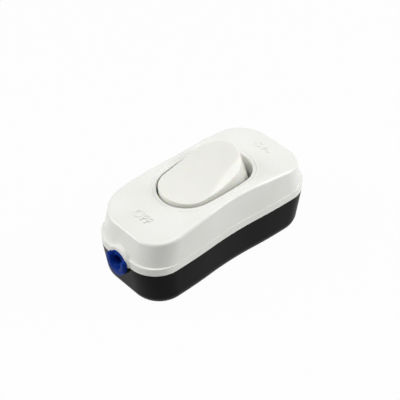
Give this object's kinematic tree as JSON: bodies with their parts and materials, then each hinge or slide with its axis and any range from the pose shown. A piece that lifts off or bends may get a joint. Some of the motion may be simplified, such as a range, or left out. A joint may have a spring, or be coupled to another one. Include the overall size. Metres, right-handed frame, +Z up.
{
  "type": "inline cord switch",
  "caption": "Inline cord switch: waisted two-part housing, white over black, rocker in a crowned roof, blue grommet at each cord inlet, see-saw contact and cord clamps inside.",
  "frame": {"origin": "centre of the flat underside", "axes": "+X along the housing towards the raised end of the rocker, +Y across it, +Z up out of the rocker"},
  "size_m": [0.083, 0.034, 0.039],
  "materials": {
    "white_cover": "gloss",
    "black_base": "satin",
    "white_rocker": "gloss",
    "plunger_plastic": "natural",
    "spring_steel": "bright",
    "copper_strip": "bright",
    "silver_contact": "satin",
    "brass_strip": "bright",
    "brass_pillar": "bright",
    "clamp_plastic": "satin",
    "blue_grommet": "gloss",
    "steel_screw": "zinc plated"
  },
  "bodies": {
    "housing": {"top_cover": "white_cover", "bottom_cover": "black_base", "fixed_contact": "silver_contact", "line_strip": "brass_strip", "load_strip": "brass_strip", "neutral_bar": "brass_strip", "pillar_line": "brass_pillar", "pillar_load": "brass_pillar", "pillar_neutral_near": "brass_pillar", "pillar_neutral_far": "brass_pillar", "clamp_near": "clamp_plastic", "clamp_far": "clamp_plastic", "grommet_near": "blue_grommet", "grommet_far": "blue_grommet", "housing_screws": "steel_screw", "clamp_screws": "steel_screw", "terminal_screws": "steel_screw"},
    "rocker": {"rocker": "white_rocker", "plunger": "plunger_plastic", "plunger_spring": "spring_steel"},
    "see_saw": {"contact_blade": "copper_strip", "moving_contact": "silver_contact"}
  },
  "joints": [
    {"name": "rocker_tilt", "type": "hinge", "parent": "housing", "child": "rocker", "pos_m": [0, 0, 0.0225], "axis": [0, 1, 0], "range_deg": [0, 22]},
    {"name": "see_saw_tilt", "type": "hinge", "parent": "housing", "child": "see_saw", "pos_m": [0, -0.005, 0.0134], "axis": [0, 1, 0], "range_deg": [-11, 0]}
  ],
  "couplings": [
    {"joint": "see_saw_tilt", "follows": "rocker_tilt", "ratio": -0.5}
  ]
}
